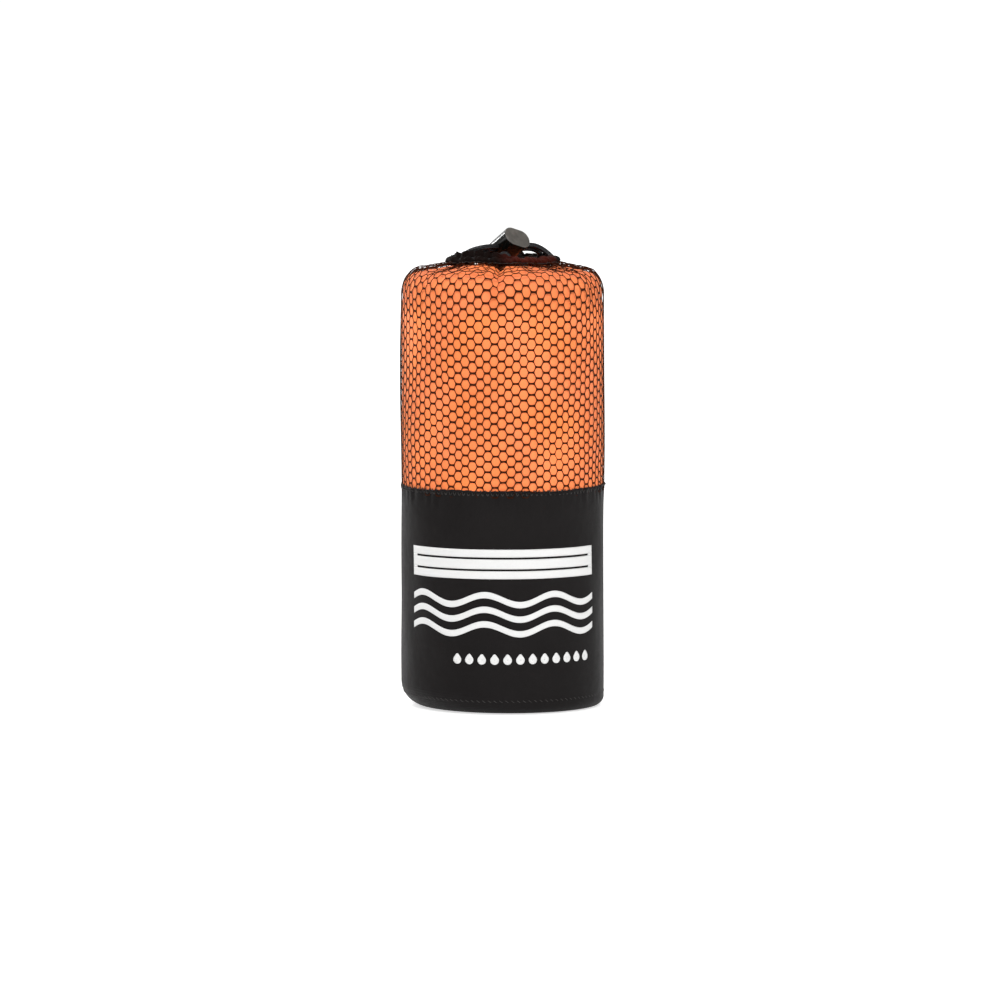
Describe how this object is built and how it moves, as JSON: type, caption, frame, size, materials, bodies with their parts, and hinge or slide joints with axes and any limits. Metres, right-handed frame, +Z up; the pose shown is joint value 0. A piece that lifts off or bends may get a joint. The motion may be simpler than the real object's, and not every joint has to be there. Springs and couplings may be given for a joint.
{
  "type": "quick dry towel",
  "caption": "Microfibre travel towel rolled inside a drawstring pouch with a nylon lower half, a mesh upper half and a spring cord lock.",
  "frame": {"origin": "centre of the pouch's base, on the surface that it stands on", "axes": "+Z up along the pouch's axis, the printed front faces -Y, +X to the viewer's right"},
  "size_m": [0.09, 0.0902, 0.2119],
  "materials": {
    "nylon": "satin woven nylon",
    "seam_tape": "overlocked seam allowance",
    "mesh": "open hexagonal knitted mesh",
    "thread": "spun polyester thread",
    "print": "matt screen-printed film",
    "towel": "suede microfibre",
    "towel_thread": "overlock thread",
    "cord": "braided polyester cord",
    "lock": "glossy moulded plastic",
    "lock_button": "glossy moulded plastic",
    "steel": "plain spring wire"
  },
  "bodies": {
    "pouch": {"base_panel": "nylon", "base_seam": "seam_tape", "nylon_sleeve": "nylon", "waist_seam": "seam_tape", "mesh_sleeve": "mesh", "side_seam": "seam_tape", "drawcord_channel": "mesh", "channel_stitching": "thread", "channel_bartack": "thread", "print_band": "print", "print_waves": "print", "print_drops": "print", "towel_roll": "towel", "towel_hem": "towel_thread", "drawcord_loop": "cord", "cord_strand_a": "cord", "cord_strand_b": "cord", "cord_knot": "cord"},
    "barrel": {"lock_barrel": "lock", "lock_spring": "steel"},
    "plunger": {"lock_plunger": "lock_button"}
  },
  "joints": [
    {"name": "lock_slide", "type": "slide", "parent": "pouch", "child": "barrel", "axis": [0.7314, 0.682, 0], "range_m": [0, 0.005]},
    {"name": "plunger_press", "type": "slide", "parent": "barrel", "child": "plunger", "axis": [0.5752, -0.6168, 0.5373], "range_m": [0, 0.0026], "stiffness_N_per_m": 800, "springref_m": -0.002, "deforming": ["lock_spring"]}
  ]
}
